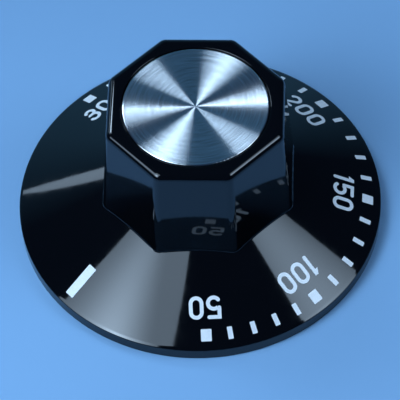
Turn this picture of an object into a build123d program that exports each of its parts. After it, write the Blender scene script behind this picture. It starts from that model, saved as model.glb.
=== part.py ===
from build123d import *
import math
import os

# Push-on thermostat knob: a moulded body with an octagonal grip on a conical dial skirt,
# a turned metal disc in its top and a spring band round its split hub.
# Lengths are in millimetres and angles in degrees. The shaft axis is Z, and the rim stands on z = 0.

# Outside of the moulding
skirt_diameter = 70.0
overall_height = 32.2
rim_height = 2.7
skirt_slope = 26.5
grip_sides = 8
grip_across_flats = 33.0
grip_draft = 4.1
grip_corner_radius = 2.0
grip_edge_radius = 1.35
grip_root_radius = 0.3
rim_edge_radius = 0.45
rim_foot_radius = 0.25

# Walls round the hollow underside
rim_wall = 2.4
skirt_wall = 2.2
grip_wall = 2.2
top_wall = 2.5

# Recess in the top face and the disc that fills it, flush with the face
recess_wall = 2.5
disc_thickness = 1.0
disc_edge_radius = 0.25
disc_side_clearance = 0.25
recess_lip_radius = 0.15

# Hub and its hole for a D shaft
shaft_diameter = 6.0
shaft_across_flat = 4.6
shaft_clearance = 0.05
guide_clearance = 0.25
shaft_flat_angle = -135.0
hub_diameter = 11.2
hub_set_back = 5.0
mouth_chamfer = 0.4
guide_length = 5.0
flat_length = 16.0
slit_width = 1.2
slit_depth = 8.0

# Ribs between the hub and the grip
rib_count = 4
rib_first_angle = 45.0
rib_thickness = 1.4
rib_set_back = 9.0

# Spring band in its groove round the hub
spring_width = 4.0
spring_thickness = 0.6
spring_groove_depth = 0.4
spring_groove_set_back = 1.5
spring_radial_clearance = 0.05
spring_end_clearance = 0.2
spring_opening_angle = 60.0

# How far a cutting shape runs past the face that it cuts
cut_overrun = 2.0

# Heights and radii that follow from the sizes above
skirt_radius = skirt_diameter / 2
skirt_rise = math.tan(math.radians(skirt_slope))
skirt_wall_drop = skirt_wall / math.cos(math.radians(skirt_slope))
cone_tip_height = rim_height + skirt_radius * skirt_rise
draft_growth = overall_height * math.tan(math.radians(grip_draft))
grip_top_apothem = grip_across_flats / 2
grip_foot_apothem = grip_top_apothem + draft_growth

recess_radius = grip_top_apothem - recess_wall
disc_radius = recess_radius - disc_side_clearance
recess_floor_height = overall_height - disc_thickness
ceiling_height = recess_floor_height - top_wall

shaft_radius = shaft_diameter / 2
bore_radius = shaft_radius + shaft_clearance
guide_radius = shaft_radius + guide_clearance
flat_distance = shaft_across_flat - shaft_radius + shaft_clearance
hub_radius = hub_diameter / 2
mouth_height = hub_set_back
guide_height = mouth_height + mouth_chamfer
flat_height = guide_height + guide_length
bore_top_height = flat_height + flat_length

groove_height = mouth_height + spring_groove_set_back
groove_width = spring_width + spring_end_clearance
groove_radius = hub_radius - spring_groove_depth
spring_inner_radius = groove_radius + spring_radial_clearance
spring_outer_radius = spring_inner_radius + spring_thickness


def upright_cylinder(radius, bottom, top):
    """Cylinder on the shaft axis between two heights."""
    base = Plane.XY.offset(bottom) * Circle(radius)
    return extrude(base, top - bottom)


def turned(*outline):
    """Solid of revolution about the shaft axis from (radius, height) points."""
    profile = make_face(Polyline(*outline, close=True))
    return revolve(Plane.XZ * profile, Axis.Z)


def drafted_prism(foot_apothem, bottom, top):
    """Regular prism with the grip's sides and draft, one flat facing each sector's middle."""
    half_sector = 180 / grip_sides
    outline = RegularPolygon(foot_apothem, grip_sides, major_radius=False, rotation=half_sector)
    return extrude(Plane.XY.offset(bottom) * outline, top - bottom, taper=grip_draft)


def make_grip():
    """Solid octagonal grip with rounded corners and a rounded top edge."""
    grip = drafted_prism(grip_foot_apothem, 0, overall_height)
    level_faces = grip.faces().filter_by(Axis.Z)
    grip = fillet(grip.edges() - level_faces.edges(), grip_corner_radius)
    return fillet(grip.faces().sort_by(Axis.Z)[-1].edges(), grip_edge_radius)


def make_skirt():
    """Solid cone on a short upright rim, its edges rounded."""
    skirt = turned((0, 0), (skirt_radius, 0), (skirt_radius, rim_height), (0, cone_tip_height))
    rings = skirt.edges().filter_by(GeomType.CIRCLE).sort_by(Axis.Z)
    skirt = fillet(rings[-1], rim_edge_radius)
    rings = skirt.edges().filter_by(GeomType.CIRCLE).sort_by(Axis.Z)
    return fillet(rings[0], rim_foot_radius)


def make_shell():
    """Grip and skirt as one solid, with a small fillet where they meet."""
    shell = make_grip() + make_skirt()
    cone = shell.faces().filter_by(GeomType.CONE).sort_by(SortBy.AREA)[-1]
    bent_edges = cone.edges().filter_by(GeomType.LINE, reverse=True)
    roots = bent_edges.filter_by(GeomType.CIRCLE, reverse=True)
    return fillet(roots, grip_root_radius)


def make_hub():
    """Solid hub and the ribs that tie it to the grip."""
    hub = upright_cylinder(hub_radius, mouth_height, overall_height)
    rib_bottom = mouth_height + rib_set_back
    rib_place = (Align.MIN, Align.CENTER, Align.MIN)
    for number in range(rib_count):
        rib = Box(grip_foot_apothem, rib_thickness, overall_height - rib_bottom, align=rib_place)
        turn = rib_first_angle + number * 360 / rib_count
        hub += Pos(0, 0, rib_bottom) * Rot(0, 0, turn) * rib
    return hub


def make_hollow():
    """Space under the skirt and in the grip, round the hub and its ribs."""
    inner_rim = skirt_radius - rim_wall
    inner_tip = cone_tip_height - skirt_wall_drop
    inner_step = inner_tip - inner_rim * skirt_rise
    below = -cut_overrun
    skirt_space = turned((0, below), (inner_rim, below), (inner_rim, inner_step), (0, inner_tip))
    grip_space = drafted_prism(grip_foot_apothem - grip_wall, 0, ceiling_height)
    return skirt_space + grip_space - make_hub()


def make_shaft_hole():
    """Chamfered mouth, round guide and the D-shaped hole above it, open downwards."""
    guide = turned(
        (0, mouth_height - cut_overrun),
        (guide_radius + mouth_chamfer + cut_overrun, mouth_height - cut_overrun),
        (guide_radius, guide_height),
        (guide_radius, flat_height),
        (0, flat_height),
    )
    d_hole = upright_cylinder(bore_radius, flat_height, bore_top_height)
    beyond_flat = Box(bore_radius, hub_diameter, flat_length, align=(Align.MIN, Align.CENTER, Align.MIN))
    d_hole -= Pos(flat_distance, 0, flat_height) * beyond_flat
    return Rot(0, 0, shaft_flat_angle) * (guide + d_hole)


def make_slit():
    """Cut that splits the hub's lower end into two jaws, parallel to the shaft's flat."""
    depth = slit_depth + cut_overrun
    cut = Box(slit_width, hub_diameter + cut_overrun, depth, align=(Align.CENTER, Align.CENTER, Align.MIN))
    return Rot(0, 0, shaft_flat_angle) * Pos(0, 0, mouth_height - cut_overrun) * cut


def make_groove():
    """Ring-shaped groove round the hub for the spring band."""
    top = groove_height + groove_width
    ring = upright_cylinder(hub_radius + cut_overrun, groove_height, top)
    return ring - upright_cylinder(groove_radius, groove_height, top)


def make_knob_body():
    """The whole moulding."""
    body = make_shell() - make_hollow() - make_groove() - make_slit() - make_shaft_hole()
    body -= upright_cylinder(recess_radius, recess_floor_height, overall_height + cut_overrun)
    lip = body.edges().filter_by(GeomType.CIRCLE).sort_by(Axis.Z)[-1]
    return fillet(lip, recess_lip_radius)


def make_trim_disc():
    """Turned disc on the floor of the recess, its top edge rounded."""
    disc = upright_cylinder(disc_radius, recess_floor_height, recess_floor_height + disc_thickness)
    rim = disc.edges().filter_by(GeomType.CIRCLE).sort_by(Axis.Z)[-1]
    return fillet(rim, disc_edge_radius)


def make_hub_spring():
    """C-shaped band round the hub, standing on the lower side of its groove, open at the slit."""
    top = groove_height + spring_width
    band = upright_cylinder(spring_outer_radius, groove_height, top)
    band -= upright_cylinder(spring_inner_radius, groove_height, top)
    reach = hub_diameter
    half_opening = math.radians(spring_opening_angle / 2)
    corner = (reach * math.cos(half_opening), reach * math.sin(half_opening))
    wedge = make_face(Polyline((0, 0), corner, (corner[0], -corner[1]), close=True))
    opening = extrude(Plane.XY.offset(groove_height) * wedge, spring_width)
    return Rot(0, 0, shaft_flat_angle + 90) * (band - opening)


def main():
    os.makedirs("parts", exist_ok=True)
    nodes = {
        "knob_body": make_knob_body(),
        "trim_disc": make_trim_disc(),
        "hub_spring": make_hub_spring(),
    }
    for name, solid in nodes.items():
        export_step(solid, os.path.join("parts", name + ".step"))


main()
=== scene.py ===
"""Finish, printed scale and studio for a push-on stove knob.

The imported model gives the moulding, its trim disc and its hub spring. This file gives them their
surfaces, lays the white scale on the skirt and sets up the studio. Lengths are in metres.
"""

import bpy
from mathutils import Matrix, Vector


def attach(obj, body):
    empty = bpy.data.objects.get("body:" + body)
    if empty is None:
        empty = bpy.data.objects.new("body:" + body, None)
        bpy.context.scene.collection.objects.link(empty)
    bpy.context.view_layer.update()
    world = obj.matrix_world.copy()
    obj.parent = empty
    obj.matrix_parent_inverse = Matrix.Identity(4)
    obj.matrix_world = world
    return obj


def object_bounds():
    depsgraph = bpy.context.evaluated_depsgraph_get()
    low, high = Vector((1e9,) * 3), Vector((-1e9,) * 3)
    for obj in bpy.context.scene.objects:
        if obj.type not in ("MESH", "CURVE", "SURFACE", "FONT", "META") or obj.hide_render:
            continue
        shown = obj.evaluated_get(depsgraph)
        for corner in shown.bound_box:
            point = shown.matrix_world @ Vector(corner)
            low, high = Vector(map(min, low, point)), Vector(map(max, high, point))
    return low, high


bl_info = {
    "name": "Stove Knob",
    "version": (1, 0, 0),
    "blender": (4, 5, 0),
    "location": "View3D > Sidebar > Stove Knob",
    "description": "Gloss moulding, turned disc, spring band and printed scale of a stove knob",
    "category": "Object",
}

import math
from typing import NamedTuple

import bmesh
import bpy
from bpy.props import FloatProperty, FloatVectorProperty, PointerProperty
from mathutils import Matrix, Vector

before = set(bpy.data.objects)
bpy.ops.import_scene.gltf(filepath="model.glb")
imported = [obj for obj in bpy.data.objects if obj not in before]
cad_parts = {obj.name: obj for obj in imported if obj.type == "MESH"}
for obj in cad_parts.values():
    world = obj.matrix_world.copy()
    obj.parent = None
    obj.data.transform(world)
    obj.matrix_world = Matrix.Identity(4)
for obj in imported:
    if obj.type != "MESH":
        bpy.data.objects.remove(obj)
cad_low, cad_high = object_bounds()

MM = 0.001
UP = Vector((0, 0, 1))
BODY = "root"

# Width of the camera's sensor in mm, the unit of its focal length too
SENSOR_WIDTH = 36

# Numbers of the scale with their places round the shaft, in degrees, and the index bar's place
NUMBER_PLACES = ((50, -85), (100, -45), (150, 0), (200, 45), (250, 90), (300, 135))
INDEX_PLACE = -135
TICKS_BETWEEN = 4

# Inputs and output of a mix node for each kind of data
MIX_SOCKETS = {"FLOAT": (2, 3, 0), "VECTOR": (4, 5, 1), "RGBA": (6, 7, 2)}

# Range that most of a noise stays in
NOISE_LOW = 0.3
NOISE_HIGH = 0.7


class Softbox(NamedTuple):
    """Rectangular lamp with a brighter spot on its panel. Lengths are in mm.

    The spot's place is measured from the panel's middle, across and up. There the spot adds spot_gain
    times the panel's own light, and it fades to nothing at spot_reach, by the power spot_power.
    """

    name: str
    middle: tuple
    across: tuple
    rise: tuple
    width: float
    height: float
    radiance: float
    spot: tuple = (0, 0)
    spot_reach: tuple = (100, 100)
    spot_gain: float = 0
    spot_power: float = 2.0


SOFTBOXES = (
    Softbox(
        "softbox_left",
        middle=(-119.6, -86.0, 250.5), across=(0.42, -0.90, 0.10), rise=(0.34, 0.26, 0.91),
        width=180, height=255, radiance=3.9,
        spot=(9, -55), spot_reach=(110, 104), spot_gain=4.6,
    ),
    Softbox(
        "softbox_right",
        middle=(169.9, 13.9, 262.2), across=(0.50, 0.79, -0.34), rise=(-0.27, 0.54, 0.80),
        width=128, height=210, radiance=1.0,
        spot=(-18, -105), spot_reach=(128, 167), spot_gain=7.8, spot_power=1.0,
    ),
    Softbox(
        "strip_back",
        middle=(-543.6, 401.2, 462), across=(-0.7214, -0.6186, -0.3109), rise=(0.0687, -0.5107, 0.857),
        width=60, height=350, radiance=4.0,
    ),
    Softbox(
        "panel_back",
        middle=(-230.6, 265.8, 386.3), across=(-0.126, -0.847, 0.517), rise=(0.872, 0.154, 0.465),
        width=84, height=150, radiance=4.3,
        spot=(-42, 0), spot_reach=(90, 250), spot_gain=4.6,
    ),
)


def length(name, description, default):
    """Length setting in metres."""
    return FloatProperty(
        name=name, description=description, default=default, min=0, unit="LENGTH", precision=5,
    )


def angle(name, description, degrees):
    """Angle setting, given in degrees."""
    return FloatProperty(
        name=name, description=description, default=math.radians(degrees), subtype="ANGLE",
    )


def share(name, description, default):
    """Setting between nothing and all."""
    return FloatProperty(
        name=name, description=description, default=default, min=0, max=1, subtype="FACTOR",
    )


def colour(name, description, default):
    """Colour setting in linear light."""
    return FloatVectorProperty(
        name=name, description=description, default=default, min=0, max=1, subtype="COLOR",
    )


class KnobScaleSettings(bpy.types.PropertyGroup):
    """Sizes of the printed scale and of the skirt that carries it"""

    rim_height: length("Rim height", "Height of the upright rim below the skirt", 2.7 * MM)
    skirt_slope: angle("Skirt slope", "Slope of the conical skirt", 26.5)
    turn: angle("Turn", "Turn of the whole scale against the grip", -1.2)
    film_rise: length("Film rise", "Height of the ink above the skirt", 0.03 * MM)
    film_sink: length("Film sink", "Depth of the ink's underside below the skirt", 0.03 * MM)
    corner_radius: length("Corner radius", "Rounding of the corners of bars and squares", 0.15 * MM)
    bar_radius: length("Bar radius", "Radius at the middle of the index bar", 30.33 * MM)
    bar_length: length("Bar length", "Length of the index bar down the slope", 6.98 * MM)
    bar_width: length("Bar width", "Width of the index bar", 1.85 * MM)
    mark_radius: length("Mark radius", "Radius at the middle of ticks and squares", 32.42 * MM)
    tick_length: length("Tick length", "Length of a tick down the slope", 2.36 * MM)
    tick_width: length("Tick width", "Width of a tick", 0.97 * MM)
    square_length: length("Square length", "Length of a square down the slope", 2.32 * MM)
    square_width: length("Square width", "Width of a square", 2.0 * MM)
    number_radius: length("Number radius", "Radius at half the height of the numbers", 27.75 * MM)
    digit_height: length("Digit height", "Height of a digit down the slope", 4.42 * MM)
    digit_width: length("Digit width", "Width of a digit", 2.76 * MM)
    digit_pitch: length("Digit pitch", "Distance between two wide digits", 3.31 * MM)
    one_pitch: length("One pitch", "Distance from the stem of a one to the next digit", 2.6 * MM)
    stroke_width: length("Stroke width", "Width of a digit's stroke", 0.72 * MM)


class KnobFinishSettings(bpy.types.PropertyGroup):
    """Colours and gloss of the knob's pieces"""

    plastic: colour("Plastic", "Colour of the moulding", (0.0012, 0.0016, 0.0024))
    gloss: share("Gloss roughness", "Roughness of the polished outside", 0.05)
    satin: share("Satin roughness", "Roughness of the hollow underside", 0.42)
    metal: colour("Disc metal", "Colour of the turned disc", (0.66, 0.68, 0.70))
    turned: share("Turned roughness", "Roughness of the disc across its turning marks", 0.25)
    flank_slope: share("Flank slope", "Steepness of the flanks of the turning marks", 0.42)
    stray_slope: share("Stray slope", "Steepness of the marks along their rings", 0.006)
    streak_pitch: length("Streak pitch", "Usual distance between two bright streaks", 0.17 * MM)
    turned_radius: length("Turned radius", "Radius up to which the disc has turning marks", 13.5 * MM)
    edge: share("Edge roughness", "Roughness of the disc's polished edge", 0.16)
    steel: colour("Spring steel", "Colour of the spring band", (0.50, 0.51, 0.53))
    ink: colour("Ink", "Colour of the printed scale", (0.84, 0.87, 0.89))


class KnobStudioSettings(bpy.types.PropertyGroup):
    """Floor, light and camera"""

    floor: colour("Floor", "Colour of the floor", (0.23, 0.43, 0.68))
    floor_size: length("Floor size", "Side of the floor", 6.0)
    lamp: colour("Lamp", "Colour of the softboxes", (0.57, 0.77, 1.0))
    far_wall: colour("Far wall", "Light from low down behind the knob", (0.09, 0.26, 0.46))
    room: colour("Room", "Light from the rest of the room", (0.014, 0.030, 0.068))
    azimuth: angle("Azimuth", "Camera's turn round the knob", 3.88)
    elevation: angle("Elevation", "Camera's height above the horizon", 54.1)
    roll: angle("Roll", "Camera's turn about its own axis", -2.76)
    distance: length("Distance", "Distance from the camera to its target", 0.6)
    lens: FloatProperty(
        name="Lens",
        description=f"Focal length on a {SENSOR_WIDTH} mm sensor",
        default=283.08,
        unit="CAMERA",
    )
    target: FloatVectorProperty(
        name="Target",
        description="Point that the camera looks at",
        default=(0.364 * MM, -5.459 * MM, 10 * MM),
        subtype="TRANSLATION",
    )


class NodeSheet:
    """Short calls for the nodes of one node tree."""

    def __init__(self, tree):
        self.tree = tree

    def add(self, kind, *sources, **settings):
        """Adds a node, sets its settings and feeds its first inputs with sockets or plain values."""
        node = self.tree.nodes.new(kind)
        for name, value in settings.items():
            setattr(node, name, value)
        for socket, source in zip(node.inputs, sources):
            self.feed(source, socket)
        return node

    def feed(self, source, socket):
        """Links a socket or sets a plain value. Nothing leaves the input as it is."""
        if isinstance(source, bpy.types.NodeSocket):
            self.tree.links.new(source, socket)
        elif source is not None:
            socket.default_value = source

    def math(self, operation, *sources):
        """Result of a sum on numbers."""
        return self.add("ShaderNodeMath", *sources, operation=operation).outputs["Value"]

    def vector(self, operation, *sources):
        """Vector that a sum on vectors gives."""
        return self.add("ShaderNodeVectorMath", *sources, operation=operation).outputs["Vector"]

    def measure(self, operation, *sources):
        """Number that a sum on vectors gives."""
        return self.add("ShaderNodeVectorMath", *sources, operation=operation).outputs["Value"]

    def scaled(self, source, factor):
        """Vector times a number."""
        node = self.add("ShaderNodeVectorMath", source, operation="SCALE")
        self.feed(factor, node.inputs["Scale"])
        return node.outputs["Vector"]

    def to_world(self, source):
        """Vector along the piece's own axes, as the scene's axes have it."""
        node = self.add(
            "ShaderNodeVectorTransform", source,
            vector_type="VECTOR", convert_from="OBJECT", convert_to="WORLD",
        )
        return node.outputs["Vector"]

    def noise(self, place, scale, detail=2.0):
        """Noise between about 0 and 1 at a place."""
        node = self.add("ShaderNodeTexNoise", place)
        node.inputs["Scale"].default_value = scale
        node.inputs["Detail"].default_value = detail
        return node.outputs["Fac"]

    def ramp(self, source, start, end):
        """Rises from 0 at the start to 1 at the end, which may lie below the start."""
        return self.add("ShaderNodeMapRange", source, start, end).outputs["Result"]

    def spread(self, source, low, high):
        """Maps the usual range of a noise to a range of values."""
        node = self.add("ShaderNodeMapRange", source, NOISE_LOW, NOISE_HIGH, low, high)
        return node.outputs["Result"]

    def mix(self, kind, factor, first, second):
        """Mixes two numbers, vectors or colours."""
        first_input, second_input, result = MIX_SOCKETS[kind]
        node = self.add("ShaderNodeMix", factor, data_type=kind)
        self.feed(first, node.inputs[first_input])
        self.feed(second, node.inputs[second_input])
        return node.outputs[result]

    def bump(self, height, depth, normal=None):
        """Normal of a surface with hills of a given depth."""
        node = self.add("ShaderNodeBump")
        node.inputs["Strength"].default_value = 1.0
        node.inputs["Distance"].default_value = depth
        self.feed(height, node.inputs["Height"])
        self.feed(normal, node.inputs["Normal"])
        return node.outputs["Normal"]


def start_material(name):
    """New material with its node sheet, its surface shader and its object coordinates."""
    material = bpy.data.materials.new(name)
    material.use_nodes = True
    sheet = NodeSheet(material.node_tree)
    surface = material.node_tree.nodes["Principled BSDF"]
    place = sheet.add("ShaderNodeTexCoord").outputs["Object"]
    return material, sheet, surface, place


def tinted(base, factor):
    """Colour scaled by a factor, with full alpha."""
    return tuple(min(1.0, part * factor) for part in base) + (1.0,)


def radius_of(sheet, place):
    """Distance from the shaft axis and the flat vector away from it."""
    flat = sheet.vector("MULTIPLY", place, (1, 1, 0))
    return sheet.measure("LENGTH", flat), flat


def height_of(sheet, place):
    """Height above the rim's foot."""
    return sheet.add("ShaderNodeSeparateXYZ", place).outputs["Z"]


def hollow_mask(sheet, place, scale):
    """One on the hollow underside of the moulding, nothing on its polished outside."""
    rim_wall_middle = 33.8 * MM
    skirt_middle_drop = 1.2 * MM
    grip_wall_middle = 18.4 * MM
    grip_draft = math.radians(4.1)
    ceiling_middle = 29.5 * MM
    radius, _ = radius_of(sheet, place)
    height = height_of(sheet, place)
    skirt_rise = math.tan(scale.skirt_slope)
    wall_top = scale.rim_height + cad_high.x * skirt_rise - skirt_middle_drop
    skirt_wall = sheet.math("MULTIPLY_ADD", radius, -skirt_rise, wall_top)
    below_skirt = sheet.math("LESS_THAN", height, skirt_wall)
    in_rim = sheet.math("LESS_THAN", radius, rim_wall_middle)
    under_skirt = sheet.math("MULTIPLY", below_skirt, in_rim)
    grip_wall = sheet.math("MULTIPLY_ADD", height, -math.tan(grip_draft), grip_wall_middle)
    in_wall = sheet.math("LESS_THAN", radius, grip_wall)
    below_top = sheet.math("LESS_THAN", height, ceiling_middle)
    in_grip = sheet.math("MULTIPLY", in_wall, below_top)
    return sheet.math("MAXIMUM", under_skirt, in_grip)


def soft_rim(sheet, place, normal):
    """Normal that turns a little outwards just before the skirt's upper edge and keeps so along it."""
    turn_start = cad_high.x - 0.55 * MM
    turn_end = cad_high.x - 0.35 * MM
    side_start = cad_high.x - 0.08 * MM
    side_end = cad_high.x - 0.03 * MM
    rim_middle = 1.5 * MM
    outward_lean = 0.6
    radius, flat = radius_of(sheet, place)
    turning = sheet.ramp(radius, turn_start, turn_end)
    before_side = sheet.ramp(radius, side_end, side_start)
    upper_half = sheet.math("GREATER_THAN", height_of(sheet, place), rim_middle)
    on_edge = sheet.math("MULTIPLY", sheet.math("MULTIPLY", turning, before_side), upper_half)
    lean = sheet.scaled(sheet.vector("NORMALIZE", flat), outward_lean)
    leaning = sheet.vector("NORMALIZE", sheet.vector("ADD", lean, tuple(UP)))
    mixed = sheet.mix("VECTOR", on_edge, normal, sheet.to_world(leaning))
    return sheet.vector("NORMALIZE", mixed)


def gloss_plastic(finish, scale):
    """Black moulding plastic: polished outside with a faint flow of the melt, satin inside."""
    flow_scale = 90
    haze_scale = 700
    grain_scale = 2600
    flow_depth = 0.004 * MM
    grain_depth = 0.02 * MM
    material, sheet, surface, place = start_material("gloss_plastic")
    hollow = hollow_mask(sheet, place, scale)
    flow = sheet.noise(place, flow_scale, detail=1.0)
    haze = sheet.noise(place, haze_scale, detail=3.0)
    grain = sheet.noise(place, grain_scale)
    polished = sheet.spread(haze, finish.gloss * 0.8, finish.gloss * 1.3)
    etched = sheet.spread(grain, finish.satin * 0.85, finish.satin * 1.15)
    sheet.feed(sheet.mix("FLOAT", hollow, polished, etched), surface.inputs["Roughness"])
    outside = sheet.mix("RGBA", flow, tinted(finish.plastic, 0.85), tinted(finish.plastic, 1.15))
    inside = sheet.mix("RGBA", grain, tinted(finish.plastic, 1.6), tinted(finish.plastic, 2.6))
    sheet.feed(sheet.mix("RGBA", hollow, outside, inside), surface.inputs["Base Color"])
    normal = soft_rim(sheet, place, sheet.bump(flow, flow_depth))
    etching = sheet.math("MULTIPLY", grain, hollow)
    sheet.feed(sheet.bump(etching, grain_depth, normal), surface.inputs["Normal"])
    surface.inputs["IOR"].default_value = 1.5
    return material


def ring_noise(sheet, outward, radius, pitch, changes):
    """Noise that changes quickly from ring to ring and slowly along a ring."""
    rings = sheet.math("MULTIPLY", radius, 1 / pitch)
    across = sheet.add("ShaderNodeCombineXYZ", None, None, rings).outputs["Vector"]
    return sheet.noise(sheet.vector("ADD", sheet.scaled(outward, changes), across), 1.0)


def flank_metal(sheet, outward, on_face, slope, streaks, finish):
    """Shader of the flanks of the turning marks that lean outwards, or inwards with a negative slope."""
    dull_streak = 0.80
    bright_streak = 1.16
    along_rings = 0.25
    surface = sheet.add("ShaderNodeBsdfPrincipled")
    base = sheet.scaled(finish.metal, sheet.spread(streaks, dull_streak, bright_streak))
    sheet.feed(base, surface.inputs["Base Color"])
    roughness = sheet.math("MULTIPLY_ADD", on_face, finish.turned - finish.edge, finish.edge)
    sheet.feed(roughness, surface.inputs["Roughness"])
    lean = sheet.scaled(outward, sheet.math("MULTIPLY", on_face, slope))
    along = sheet.vector("CROSS_PRODUCT", tuple(UP), outward)
    stray = sheet.scaled(along, sheet.spread(streaks, -finish.stray_slope, finish.stray_slope))
    lean = sheet.to_world(sheet.vector("ADD", lean, stray))
    normal = sheet.vector("ADD", sheet.add("ShaderNodeNewGeometry").outputs["Normal"], lean)
    sheet.feed(sheet.vector("NORMALIZE", normal), surface.inputs["Normal"])
    tangent = sheet.add("ShaderNodeTangent", direction_type="RADIAL", axis="Z")
    sheet.feed(tangent.outputs["Tangent"], surface.inputs["Tangent"])
    surface.inputs["Metallic"].default_value = 1.0
    surface.inputs["Anisotropic"].default_value = 1.0
    surface.inputs["Anisotropic Rotation"].default_value = along_rings
    return surface.outputs["BSDF"]


def turned_aluminium(finish):
    """Aluminium turned on a lathe: fine marks about the shaft with two flanks each, in streaks."""
    changes_along_ring = 2.4
    inner_share = 0.53
    material, sheet, surface, place = start_material("turned_aluminium")
    radius, flat = radius_of(sheet, place)
    outward = sheet.vector("NORMALIZE", flat)
    streaks = ring_noise(sheet, outward, radius, finish.streak_pitch, changes_along_ring)
    on_face = sheet.math("LESS_THAN", radius, finish.turned_radius)
    outer = flank_metal(sheet, outward, on_face, finish.flank_slope, streaks, finish)
    inner = flank_metal(sheet, outward, on_face, -finish.flank_slope, streaks, finish)
    both = sheet.add("ShaderNodeMixShader", inner_share, outer, inner)
    material.node_tree.nodes.remove(surface)
    sheet.feed(both.outputs["Shader"], material.node_tree.nodes["Material Output"].inputs["Surface"])
    return material


def spring_steel(finish):
    """Rolled steel strip: fine lines along the band, with darker patches from hardening."""
    line_stretch = (0.15, 0.15, 6.0)
    line_scale = 900
    line_depth = 0.004 * MM
    patch_scale = 260
    material, sheet, surface, place = start_material("rolled_spring_steel")
    lines = sheet.noise(sheet.vector("MULTIPLY", place, line_stretch), line_scale, detail=3.0)
    patches = sheet.noise(place, patch_scale)
    base = sheet.mix("RGBA", patches, tinted(finish.steel, 0.82), tinted(finish.steel, 1.1))
    sheet.feed(base, surface.inputs["Base Color"])
    sheet.feed(sheet.spread(lines, 0.24, 0.40), surface.inputs["Roughness"])
    sheet.feed(sheet.bump(lines, line_depth), surface.inputs["Normal"])
    surface.inputs["Metallic"].default_value = 1.0
    return material


def printed_ink(finish):
    """White pad-print ink: slightly mottled film with a soft gloss. All prints share it."""
    mottle_scale = 1400
    speckle_scale = 5200
    speckle_depth = 0.002 * MM
    found = bpy.data.materials.get("printed_ink")
    if found:
        return found
    material, sheet, surface, place = start_material("printed_ink")
    mottle = sheet.noise(place, mottle_scale, detail=3.0)
    speckle = sheet.noise(place, speckle_scale, detail=1.0)
    base = sheet.mix("RGBA", mottle, tinted(finish.ink, 0.93), tinted(finish.ink, 1.05))
    sheet.feed(base, surface.inputs["Base Color"])
    sheet.feed(sheet.spread(speckle, 0.20, 0.30), surface.inputs["Roughness"])
    sheet.feed(sheet.bump(speckle, speckle_depth), surface.inputs["Normal"])
    return material


def floor_paint(studio):
    """Matt pale floor with a hardly visible unevenness."""
    cloud_scale = 9
    material, sheet, surface, place = start_material("floor_paint")
    cloud = sheet.noise(place, cloud_scale)
    base = sheet.mix("RGBA", cloud, tinted(studio.floor, 0.985), tinted(studio.floor, 1.015))
    sheet.feed(base, surface.inputs["Base Color"])
    sheet.feed(sheet.spread(cloud, 0.62, 0.70), surface.inputs["Roughness"])
    surface.inputs["Specular IOR Level"].default_value = 0.2
    return material


def dress(node, material):
    """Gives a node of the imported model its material."""
    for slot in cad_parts[node].material_slots:
        slot.material = material


class Pen:
    """Draws a stroke of even width in the XY plane by spinning its nib along.

    The nib is an edge across the stroke with a vertex in its middle.
    """

    arc_step = math.radians(10)
    run_step = 0.5 * MM
    cap_steps = 8

    def __init__(self, bm, place, heading, width):
        self.bm = bm
        self.place = Vector((*place, 0))
        self.heading = heading
        self.half = width / 2
        self.slant = 0
        self.nib = [bm.verts.new(self.place + self.left() * self.half * side) for side in (1, 0, -1)]
        for pair in zip(self.nib, self.nib[1:]):
            bm.edges.new(pair)

    def ahead(self):
        """Unit vector along the stroke."""
        return Vector((math.cos(self.heading), math.sin(self.heading), 0))

    def left(self):
        """Unit vector to the left of the stroke."""
        return Vector((-math.sin(self.heading), math.cos(self.heading), 0))

    def sweep(self, verts, **motion):
        """Spins some of the nib's vertices with the edges between them and returns where they end."""
        linked = {edge for vert in verts for edge in vert.link_edges}
        edges = [edge for edge in linked if all(vert in verts for vert in edge.verts)]
        swept = bmesh.ops.spin(self.bm, geom=[*verts, *edges], axis=UP, **motion)
        return [item for item in swept["geom_last"] if isinstance(item, bmesh.types.BMVert)]

    def settle(self, verts):
        """Takes the vertices at a sweep's end as the new nib, the left one first."""
        left = self.left()
        self.nib = sorted(verts, key=lambda vert: -(vert.co - self.place).dot(left))

    def run(self, distance):
        """Straight stretch."""
        steps = max(1, round(distance / self.run_step))
        step = self.ahead() * (distance / steps)
        ends = self.sweep(self.nib, cent=self.place, dvec=step, angle=0, steps=steps)
        self.place += self.ahead() * distance
        self.settle(ends)
        self.shear(-self.slant)
        self.slant = 0
        return self

    def arc(self, radius, turn):
        """Round stretch that turns left by a positive angle and right by a negative one."""
        side = math.copysign(1, turn)
        centre = self.place + self.left() * radius * side
        steps = max(2, round(abs(turn) / self.arc_step))
        ends = self.sweep(self.nib, cent=centre, angle=turn, steps=steps)
        self.place = centre + Matrix.Rotation(turn, 3, "Z") @ (self.place - centre)
        self.heading += turn
        self.settle(ends)
        return self

    def shear(self, slant):
        """Slants the nib: its left end moves ahead and its right end back."""
        for vert, side in zip(self.nib, (1, 0, -1)):
            vert.co += self.ahead() * slant * side

    def corner(self, turn):
        """Mitred corner. The next stretch has to be a run."""
        reach = self.half * math.tan(turn / 2)
        self.shear(-reach)
        self.heading += turn
        self.slant = reach
        return self

    def round_start(self):
        """Half-round cap behind the nib."""
        self.sweep(self.nib[:2], cent=self.place, angle=math.pi, steps=self.cap_steps)
        return self

    def round_end(self):
        """Half-round cap ahead of the nib."""
        self.sweep(self.nib[1:], cent=self.place, angle=math.pi, steps=self.cap_steps)
        return self


def trim(bm, faces, place, away):
    """Cuts off what lies beyond a plane."""
    geom = {*faces}
    geom.update(edge for face in faces for edge in face.edges)
    geom.update(vert for face in faces for vert in face.verts)
    bmesh.ops.bisect_plane(bm, geom=list(geom), dist=0, plane_co=place, plane_no=away, clear_outer=True)


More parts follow.
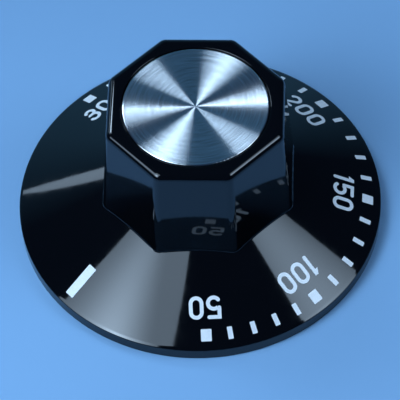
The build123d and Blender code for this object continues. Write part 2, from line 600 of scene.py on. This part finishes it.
def draw_zero(bm, scale):
    """Two straight sides closed by half rounds."""
    half = scale.stroke_width / 2
    reach = scale.digit_width / 2 - half
    side = scale.digit_height - scale.digit_width
    pen = Pen(bm, (reach, scale.digit_width / 2), math.pi / 2, scale.stroke_width)
    for _ in range(2):
        pen.run(side).arc(reach, math.pi)


def draw_one(bm, scale):
    """Stem with a round foot and a small flag."""
    flag_drop = 1.1 * MM
    flag_reach = 0.62 * MM
    half = scale.stroke_width / 2
    pen = Pen(bm, (0, half), math.pi / 2, scale.stroke_width).round_start()
    pen.run(scale.digit_height - half - flag_drop)
    foot = pen.nib[0]
    pen.run_step = flag_drop
    pen.run(flag_drop)
    side = bm.edges.get((foot, pen.nib[0]))
    flag = bmesh.ops.extrude_edge_only(bm, edges=[side])["geom"]
    corners = [item for item in flag if isinstance(item, bmesh.types.BMVert)]
    tip = min(corners, key=lambda vert: vert.co.y)
    tip.co.x -= flag_reach


def draw_two(bm, scale):
    """Arch, straight slope and level foot."""
    half = scale.stroke_width / 2
    reach = scale.digit_width / 2 - half
    start_angle = math.radians(160)
    centre_height = scale.digit_height - half - reach
    heel = Vector((-reach, half - centre_height))
    touch_angle = math.atan2(heel.y, heel.x) + math.acos(reach / heel.length)
    start = (reach * math.cos(start_angle), centre_height + reach * math.sin(start_angle))
    pen = Pen(bm, start, start_angle - math.pi / 2, scale.stroke_width).round_start()
    pen.arc(reach, touch_angle - start_angle)
    pen.run(math.sqrt(heel.length_squared - reach**2))
    pen.corner(-pen.heading).run(2 * reach).round_end()
    trim(bm, bm.faces, (-scale.digit_width / 2, 0, 0), (-1, 0, 0))


def draw_three(bm, scale):
    """Two bowls that meet at the waist, each cut off at the waist's middle line."""
    half = scale.stroke_width / 2
    waist = 0.535 * scale.digit_height
    nub = 0.55 * MM
    side_inset = 0.02 * MM
    open_angle = math.radians(65)
    right = scale.digit_width / 2 - half - side_inset
    for top, side in ((scale.digit_height - half, -1), (half, 1)):
        radius = abs(top - waist) / 2
        middle = right - radius
        known = set(bm.faces)
        pen = Pen(bm, (middle - nub, waist), 0, scale.stroke_width).round_start()
        pen.run(nub).arc(radius, -side * (math.pi + open_angle)).round_end()
        new = [face for face in bm.faces if face not in known]
        trim(bm, new, (0, waist, 0), (0, side, 0))


def draw_five(bm, scale):
    """Bowl that springs from the foot of the stem, and the stem with the top bar."""
    half = scale.stroke_width / 2
    stem = -1.02 * MM
    bar_end = 0.92 * MM
    stem_foot = 2.28 * MM
    bowl_radius = 1.07 * MM
    first_angle = math.radians(140)
    last_angle = math.radians(-143)
    bowl_height = half + bowl_radius
    start = (bowl_radius * math.cos(first_angle), bowl_height + bowl_radius * math.sin(first_angle))
    pen = Pen(bm, start, first_angle - math.pi / 2, scale.stroke_width)
    pen.arc(bowl_radius, math.pi / 2 - first_angle)
    trim(bm, bm.faces, (stem + half, 0, 0), (-1, 0, 0))
    pen.arc(bowl_radius, last_angle - math.pi / 2).round_end()
    pen = Pen(bm, (bar_end, scale.digit_height - half), math.pi, scale.stroke_width).round_start()
    pen.run(bar_end - stem).corner(math.pi / 2)
    pen.run(scale.digit_height - half - stem_foot).round_end()


DRAW_DIGIT = {"0": draw_zero, "1": draw_one, "2": draw_two, "3": draw_three, "5": draw_five}


def digit_places(text, scale):
    """Places of a number's digits along its baseline, about the number's middle."""
    one_left_reach = 1.0 * MM
    places = [0.0]
    for digit in text[:-1]:
        places.append(places[-1] + (scale.one_pitch if digit == "1" else scale.digit_pitch))
    left_reach = one_left_reach if text[0] == "1" else scale.digit_width / 2
    middle = (places[-1] + scale.digit_width / 2 - left_reach) / 2
    return [place - middle for place in places]


def add_mesh(bm, part):
    """Adds a finished part to a mesh and frees it."""
    mesh = bpy.data.meshes.new("part")
    part.to_mesh(mesh)
    part.free()
    bm.from_mesh(mesh)
    bpy.data.meshes.remove(mesh)


def add_flat_digit(bm, digit, place, scale):
    """Adds a flat digit at its place on the baseline, its middle on the X axis."""
    merge_distance = 0.001 * MM
    glyph = bmesh.new()
    DRAW_DIGIT[digit](glyph, scale)
    bmesh.ops.remove_doubles(glyph, verts=glyph.verts, dist=merge_distance)
    bmesh.ops.translate(glyph, verts=glyph.verts, vec=(place, -scale.digit_height / 2, 0))
    add_mesh(bm, glyph)


def add_flat_bar(bm, width, long, scale):
    """Adds a flat rectangle with rounded corners, fine enough across to follow the skirt."""
    shape = Matrix.Diagonal((width / 2, long / 2, 1, 1))
    made = bmesh.ops.create_grid(bm, x_segments=4, y_segments=2, size=1, matrix=shape)
    corners = [vert for vert in made["verts"] if len(vert.link_edges) == 2]
    bmesh.ops.bevel(
        bm, geom=corners, offset=scale.corner_radius, offset_type="OFFSET", affect="VERTICES",
        segments=3, profile=0.5, material=-1,
    )


def lay_on_skirt(bm, radius, place, scale):
    """Gives a flat print its film thickness and rolls it onto the skirt.

    The flat Y axis runs down the slope, away from the shaft, and the flat X axis clockwise from above.
    """
    bmesh.ops.translate(bm, verts=bm.verts, vec=(0, 0, -scale.film_sink))
    film = bmesh.ops.extrude_face_region(bm, geom=bm.faces[:])["geom"]
    upper = [item for item in film if isinstance(item, bmesh.types.BMVert)]
    bmesh.ops.translate(bm, verts=upper, vec=(0, 0, scale.film_sink + scale.film_rise))
    cosine, sine = math.cos(scale.skirt_slope), math.sin(scale.skirt_slope)
    tip_height = scale.rim_height + cad_high.x * sine / cosine
    slant = radius / cosine
    for vert in bm.verts:
        across, along, lift = vert.co
        out = math.hypot(slant + along, across)
        turn = math.radians(place) + scale.turn - math.atan2(across, slant + along) / cosine
        reach = out * cosine + lift * sine
        vert.co = (reach * math.cos(turn), reach * math.sin(turn), tip_height - out * sine + lift * cosine)
    bmesh.ops.recalc_face_normals(bm, faces=bm.faces)


def place_print(name, bm, finish):
    """Makes a printed piece of the knob from a finished mesh."""
    mesh = bpy.data.meshes.new(name)
    bm.to_mesh(mesh)
    bm.free()
    mesh.materials.append(printed_ink(finish))
    piece = bpy.data.objects.new(name, mesh)
    bpy.context.scene.collection.objects.link(piece)
    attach(piece, BODY)


def print_bars(name, places, radius, width, long, context):
    """Prints like bars round the skirt as one piece."""
    scale = context.scene.knob_scale
    group = bmesh.new()
    for place in places:
        bar = bmesh.new()
        add_flat_bar(bar, width, long, scale)
        lay_on_skirt(bar, radius, place, scale)
        add_mesh(group, bar)
    place_print(name, group, context.scene.knob_finish)


class KNOB_OT_finish_body(bpy.types.Operator):
    """Give the moulding its black plastic"""

    bl_idname = "knob.finish_body"
    bl_label = "Finish Moulding"

    def execute(self, context):
        dress("knob_body", gloss_plastic(context.scene.knob_finish, context.scene.knob_scale))
        return {"FINISHED"}


class KNOB_OT_finish_disc(bpy.types.Operator):
    """Give the trim disc its turned aluminium"""

    bl_idname = "knob.finish_disc"
    bl_label = "Finish Trim Disc"

    def execute(self, context):
        dress("trim_disc", turned_aluminium(context.scene.knob_finish))
        return {"FINISHED"}


class KNOB_OT_finish_spring(bpy.types.Operator):
    """Give the hub spring its rolled steel"""

    bl_idname = "knob.finish_spring"
    bl_label = "Finish Hub Spring"

    def execute(self, context):
        dress("hub_spring", spring_steel(context.scene.knob_finish))
        return {"FINISHED"}


class KNOB_OT_print_index(bpy.types.Operator):
    """Print the index bar on the skirt"""

    bl_idname = "knob.print_index"
    bl_label = "Print Index Bar"

    def execute(self, context):
        scale = context.scene.knob_scale
        print_bars("index_bar", [INDEX_PLACE], scale.bar_radius, scale.bar_width, scale.bar_length, context)
        return {"FINISHED"}


class KNOB_OT_print_marks(bpy.types.Operator):
    """Print a square at each number and the ticks between them"""

    bl_idname = "knob.print_marks"
    bl_label = "Print Squares and Ticks"

    def execute(self, context):
        scale = context.scene.knob_scale
        radius = scale.mark_radius
        squares = [place for _, place in NUMBER_PLACES]
        ticks = []
        for start, end in zip(squares, squares[1:]):
            step = (end - start) / (TICKS_BETWEEN + 1)
            ticks += [start + step * (number + 1) for number in range(TICKS_BETWEEN)]
        print_bars("scale_squares", squares, radius, scale.square_width, scale.square_length, context)
        print_bars("scale_ticks", ticks, radius, scale.tick_width, scale.tick_length, context)
        return {"FINISHED"}


class KNOB_OT_print_numbers(bpy.types.Operator):
    """Print the numbers of the scale"""

    bl_idname = "knob.print_numbers"
    bl_label = "Print Numbers"

    def execute(self, context):
        scale = context.scene.knob_scale
        for number, place in NUMBER_PLACES:
            text = str(number)
            bm = bmesh.new()
            for digit, along in zip(text, digit_places(text, scale)):
                add_flat_digit(bm, digit, along, scale)
            lay_on_skirt(bm, scale.number_radius, place, scale)
            place_print("number_" + text, bm, context.scene.knob_finish)
        return {"FINISHED"}


def add_floor(studio):
    """Flat square floor under the knob."""
    bm = bmesh.new()
    bmesh.ops.create_grid(bm, x_segments=8, y_segments=8, size=studio.floor_size / 2)
    mesh = bpy.data.meshes.new("floor")
    bm.to_mesh(mesh)
    bm.free()
    mesh.materials.append(floor_paint(studio))
    floor = bpy.data.objects.new("floor", mesh)
    bpy.context.scene.collection.objects.link(floor)


def add_softbox(box, studio):
    """Hangs up a softbox: even light that grows towards its spot."""
    data = bpy.data.lights.new(box.name, "AREA")
    data.shape = "RECTANGLE"
    data.size = box.width * MM
    data.size_y = box.height * MM
    data.energy = box.radiance * math.pi * data.size * data.size_y
    data.use_nodes = True
    sheet = NodeSheet(data.node_tree)
    panel = sheet.add("ShaderNodeNewGeometry").outputs["Parametric"]
    spot = (0.5 + box.spot[0] / box.width, 0.5 + box.spot[1] / box.height, 0)
    reach = (box.width / box.spot_reach[0], box.height / box.spot_reach[1], 0)
    offset = sheet.vector("MULTIPLY", sheet.vector("SUBTRACT", panel, spot), reach)
    near = sheet.ramp(sheet.measure("LENGTH", offset), 1.0, 0.0)
    peak = sheet.math("POWER", near, box.spot_power)
    emission = data.node_tree.nodes["Emission"]
    emission.inputs["Color"].default_value = (*studio.lamp, 1)
    sheet.feed(sheet.math("MULTIPLY_ADD", peak, box.spot_gain, 1.0), emission.inputs["Strength"])
    lamp = bpy.data.objects.new(box.name, data)
    bpy.context.scene.collection.objects.link(lamp)
    x = Vector(box.across).normalized()
    z = x.cross(Vector(box.rise)).normalized()
    axes = Matrix((x, z.cross(x), z)).transposed()
    lamp.matrix_world = Matrix.Translation(Vector(box.middle) * MM) @ axes.to_4x4()


def add_room(studio):
    """World that is dim all round and a little brighter low down behind the knob."""
    glow = Vector((-0.26, 0.90, -0.34))
    glow_start = 0.4
    glow_full = 0.8
    world = bpy.data.worlds.new("studio_room")
    bpy.context.scene.world = world
    world.use_nodes = True
    sheet = NodeSheet(world.node_tree)
    direction = sheet.add("ShaderNodeTexCoord").outputs["Generated"]
    nearness = sheet.ramp(sheet.measure("DOT_PRODUCT", direction, glow), glow_start, glow_full)
    light = sheet.mix("RGBA", nearness, (*studio.room, 1), (*studio.far_wall, 1))
    sheet.feed(light, world.node_tree.nodes["Background"].inputs["Color"])


def add_camera(studio):
    """Camera at its place round the knob."""
    data = bpy.data.cameras.new("camera")
    data.sensor_width = SENSOR_WIDTH
    data.lens = studio.lens
    back = Vector((
        math.sin(studio.azimuth) * math.cos(studio.elevation),
        -math.cos(studio.azimuth) * math.cos(studio.elevation),
        math.sin(studio.elevation),
    ))
    right = Vector((math.cos(studio.azimuth), math.sin(studio.azimuth), 0))
    axes = Matrix((right, back.cross(right), back)).transposed()
    axes = axes @ Matrix.Rotation(studio.roll, 3, "Z")
    camera = bpy.data.objects.new("camera", data)
    camera.matrix_world = Matrix.Translation(Vector(studio.target) + back * studio.distance) @ axes.to_4x4()
    bpy.context.scene.collection.objects.link(camera)
    bpy.context.scene.camera = camera


class KNOB_OT_set_stage(bpy.types.Operator):
    """Set up the floor, the softboxes, the room and the camera"""

    bl_idname = "knob.set_stage"
    bl_label = "Set Up Studio"

    def execute(self, context):
        studio = context.scene.knob_studio
        add_floor(studio)
        for box in SOFTBOXES:
            add_softbox(box, studio)
        add_room(studio)
        add_camera(studio)
        context.scene.view_settings.view_transform = "Standard"
        return {"FINISHED"}


class KNOB_PT_sidebar(bpy.types.Panel):
    """Steps and settings of the stove knob"""

    bl_idname = "KNOB_PT_sidebar"
    bl_label = "Stove Knob"
    bl_space_type = "VIEW_3D"
    bl_region_type = "UI"
    bl_category = "Stove Knob"

    def draw(self, context):
        for operator in OPERATORS:
            self.layout.operator(operator.bl_idname)
        for name, group in SETTINGS.items():
            box = self.layout.box()
            for setting in group.__annotations__:
                box.prop(getattr(context.scene, name), setting)


OPERATORS = (
    KNOB_OT_finish_body,
    KNOB_OT_finish_disc,
    KNOB_OT_finish_spring,
    KNOB_OT_print_index,
    KNOB_OT_print_marks,
    KNOB_OT_print_numbers,
    KNOB_OT_set_stage,
)
SETTINGS = {
    "knob_scale": KnobScaleSettings,
    "knob_finish": KnobFinishSettings,
    "knob_studio": KnobStudioSettings,
}


def register():
    for cls in (*SETTINGS.values(), *OPERATORS, KNOB_PT_sidebar):
        bpy.utils.register_class(cls)
    for name, group in SETTINGS.items():
        setattr(bpy.types.Scene, name, PointerProperty(type=group))


def unregister():
    for name in SETTINGS:
        delattr(bpy.types.Scene, name)
    for cls in (KNOB_PT_sidebar, *reversed(OPERATORS), *reversed(SETTINGS.values())):
        bpy.utils.unregister_class(cls)


def main():
    """Dresses the knob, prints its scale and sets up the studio."""
    register()
    bpy.ops.knob.finish_body()
    bpy.ops.knob.finish_disc()
    bpy.ops.knob.finish_spring()
    bpy.ops.knob.print_index()
    bpy.ops.knob.print_marks()
    bpy.ops.knob.print_numbers()
    bpy.ops.knob.set_stage()


if __name__ == "__main__":
    main()
